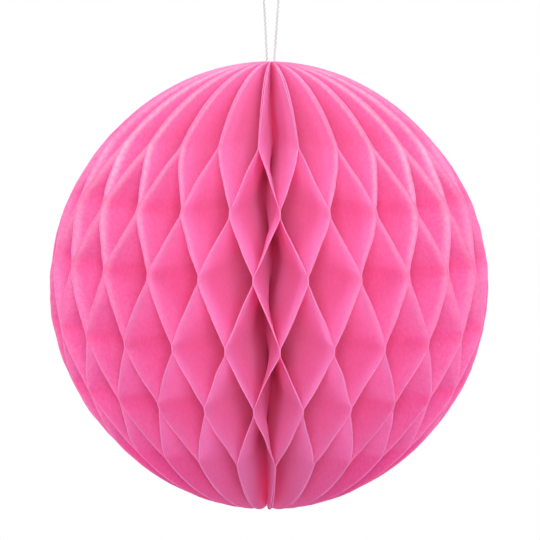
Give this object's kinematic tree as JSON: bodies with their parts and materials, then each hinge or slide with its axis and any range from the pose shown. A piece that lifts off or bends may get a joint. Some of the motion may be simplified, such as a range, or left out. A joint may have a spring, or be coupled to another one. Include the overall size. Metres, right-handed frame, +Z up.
{
  "type": "honeycomb paper ball",
  "caption": "Round hanging ball of pink tissue paper: half-disc leaves glued in alternating rows fan about a glued spine into open honeycomb cells, under a loop of twisted white string.",
  "frame": {"origin": "the point of the string loop that hangs on a hook, on the spine's axis above the top pole", "axes": "+Z up along the spine, -Y towards the front, with the seam of the two cards at the back"},
  "size_m": [0.1994, 0.1996, 0.2379],
  "materials": {
    "tissue_paper": "matte dyed tissue paper, thin enough to let some light through",
    "cover_card": "matte dyed card",
    "spine_glue": "dried glue, stained pink by the dye of the paper",
    "white_string": "twisted white string"
  },
  "bodies": {
    "root": {"tissue_leaf_01": "tissue_paper", "tissue_leaf_02": "tissue_paper", "tissue_leaf_03": "tissue_paper", "tissue_leaf_04": "tissue_paper", "tissue_leaf_05": "tissue_paper", "tissue_leaf_06": "tissue_paper", "tissue_leaf_07": "tissue_paper", "tissue_leaf_08": "tissue_paper", "tissue_leaf_09": "tissue_paper", "tissue_leaf_10": "tissue_paper", "tissue_leaf_11": "tissue_paper", "tissue_leaf_12": "tissue_paper", "tissue_leaf_13": "tissue_paper", "tissue_leaf_14": "tissue_paper", "tissue_leaf_15": "tissue_paper", "tissue_leaf_16": "tissue_paper", "tissue_leaf_17": "tissue_paper", "tissue_leaf_18": "tissue_paper", "tissue_leaf_19": "tissue_paper", "tissue_leaf_20": "tissue_paper", "tissue_leaf_21": "tissue_paper", "tissue_leaf_22": "tissue_paper", "tissue_leaf_23": "tissue_paper", "tissue_leaf_24": "tissue_paper", "tissue_leaf_25": "tissue_paper", "tissue_leaf_26": "tissue_paper", "tissue_leaf_27": "tissue_paper", "tissue_leaf_28": "tissue_paper", "tissue_leaf_29": "tissue_paper", "tissue_leaf_30": "tissue_paper", "tissue_leaf_31": "tissue_paper", "tissue_leaf_32": "tissue_paper", "tissue_leaf_33": "tissue_paper", "tissue_leaf_34": "tissue_paper", "tissue_leaf_35": "tissue_paper", "tissue_leaf_36": "tissue_paper", "tissue_leaf_37": "tissue_paper", "tissue_leaf_38": "tissue_paper", "tissue_leaf_39": "tissue_paper", "tissue_leaf_40": "tissue_paper", "tissue_leaf_41": "tissue_paper", "tissue_leaf_42": "tissue_paper", "tissue_leaf_43": "tissue_paper", "tissue_leaf_44": "tissue_paper", "tissue_leaf_45": "tissue_paper", "tissue_leaf_46": "tissue_paper", "tissue_leaf_47": "tissue_paper", "tissue_leaf_48": "tissue_paper", "tissue_leaf_49": "tissue_paper", "tissue_leaf_50": "tissue_paper", "front_cover_card": "cover_card", "back_cover_card": "cover_card", "spine_binding": "spine_glue", "hanging_string": "white_string"}
  },
  "joints": []
}
